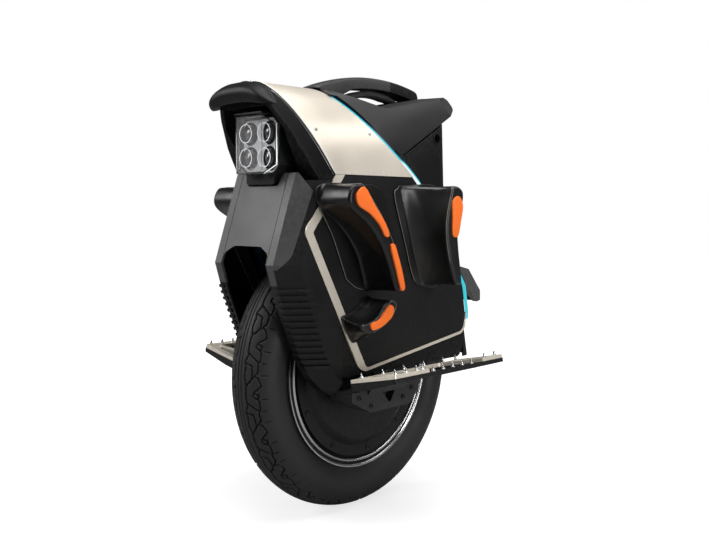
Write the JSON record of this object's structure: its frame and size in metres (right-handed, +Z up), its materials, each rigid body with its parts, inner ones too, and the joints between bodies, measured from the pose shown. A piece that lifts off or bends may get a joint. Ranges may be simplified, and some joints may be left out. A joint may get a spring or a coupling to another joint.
{
  "type": "electric unicycle",
  "caption": "Tall electric unicycle with a hub-motor wheel in an arched body, fold-up studded pedals, leg pads, carry handle, headlight and light strips.",
  "frame": {"origin": "on the ground under the axle, midway between the pedals", "axes": "+X forward, +Y to the rider's left, +Z up"},
  "size_m": [0.5586, 0.4468, 0.7207],
  "materials": {
    "tyre_rubber": "moulded rubber",
    "rim_metal": "machined",
    "motor_black": "satin black",
    "steel": "plain",
    "spike_steel": "bright",
    "core_iron": "laminated",
    "champagne": "satin",
    "black_shell": "fine grain",
    "visor_rubber": "soft matte",
    "grey_shell": "fine grain",
    "handle_black": "satin",
    "button_black": "smooth",
    "pad_skin": "soft grain",
    "orange": "satin",
    "lens_clear": "clear",
    "projector_bright": "bright",
    "light_cyan": "lit",
    "tail_red": "smooth",
    "battery_wrap": "shrink wrap",
    "sink_metal": "plain",
    "board_green": "lacquered"
  },
  "bodies": {
    "chassis": {"pedal_hanger_left": "motor_black", "pedal_hanger_right": "motor_black", "frame_left": "motor_black", "frame_right": "motor_black", "axle": "steel", "axle_nuts": "steel", "hanger_bolts": "steel", "pedal_pins": "steel", "lever_pin": "steel", "band_screws": "steel", "stator": "core_iron", "arch_band": "champagne", "side_trim_left": "champagne", "side_trim_right": "champagne", "headlight_cowl": "black_shell", "headlight_housing": "black_shell", "rear_cover": "black_shell", "wheel_arch": "black_shell", "charge_port": "black_shell", "side_panel_left": "black_shell", "side_panel_right": "black_shell", "case_left": "black_shell", "case_right": "black_shell", "leg_cover_left": "black_shell", "leg_cover_right": "black_shell", "visor": "visor_rubber", "front_cover": "grey_shell", "rear_block": "grey_shell", "rear_fender": "grey_shell", "handle": "handle_black", "handle_end_cap": "handle_black", "front_pad_left": "pad_skin", "front_pad_right": "pad_skin", "rear_pad_left": "pad_skin", "rear_pad_right": "pad_skin", "ankle_pad_left": "pad_skin", "ankle_pad_right": "pad_skin", "pad_inserts": "orange", "headlight_lens": "lens_clear", "headlight_projectors": "projector_bright", "light_strips": "light_cyan", "tail_light": "tail_red", "battery_packs": "battery_wrap", "heat_sink": "sink_metal", "controller_board": "board_green"},
    "wheel": {"tyre": "tyre_rubber", "rim": "rim_metal", "magnet_ring": "core_iron", "motor_covers": "motor_black", "motor_cover_bolts": "steel", "wheel_bearings": "steel", "valve_stem": "black_shell"},
    "pedal_left": {"pedal_base_left": "motor_black", "pedal_deck_left": "champagne", "pedal_spikes_left": "spike_steel"},
    "pedal_right": {"pedal_base_right": "motor_black", "pedal_deck_right": "champagne", "pedal_spikes_right": "spike_steel"},
    "lever": {"lift_lever": "handle_black"},
    "button": {"power_button": "button_black"}
  },
  "joints": [
    {"name": "wheel_spin", "type": "hinge", "parent": "chassis", "child": "wheel", "pos_m": [0, 0, 0.2334], "axis": [0, 1, 0], "continuous": true},
    {"name": "pedal_left_fold", "type": "hinge", "parent": "chassis", "child": "pedal_left", "pos_m": [0, 0.112, 0.226], "axis": [1, 0, 0], "range_deg": [0, 42]},
    {"name": "pedal_right_fold", "type": "hinge", "parent": "chassis", "child": "pedal_right", "pos_m": [0, -0.112, 0.226], "axis": [-1, 0, 0], "range_deg": [0, 42]},
    {"name": "lever_squeeze", "type": "hinge", "parent": "chassis", "child": "lever", "pos_m": [0.03401, 0, 0.66777], "axis": [0, 1, 0], "range_deg": [0, 1.4], "stiffness_Nm_per_rad": 30, "springref_deg": -0.57},
    {"name": "button_press", "type": "slide", "parent": "chassis", "child": "button", "axis": [-0.2008, 0, -0.9796], "range_m": [0, 0.002], "stiffness_N_per_m": 900, "springref_m": -0.0005}
  ]
}
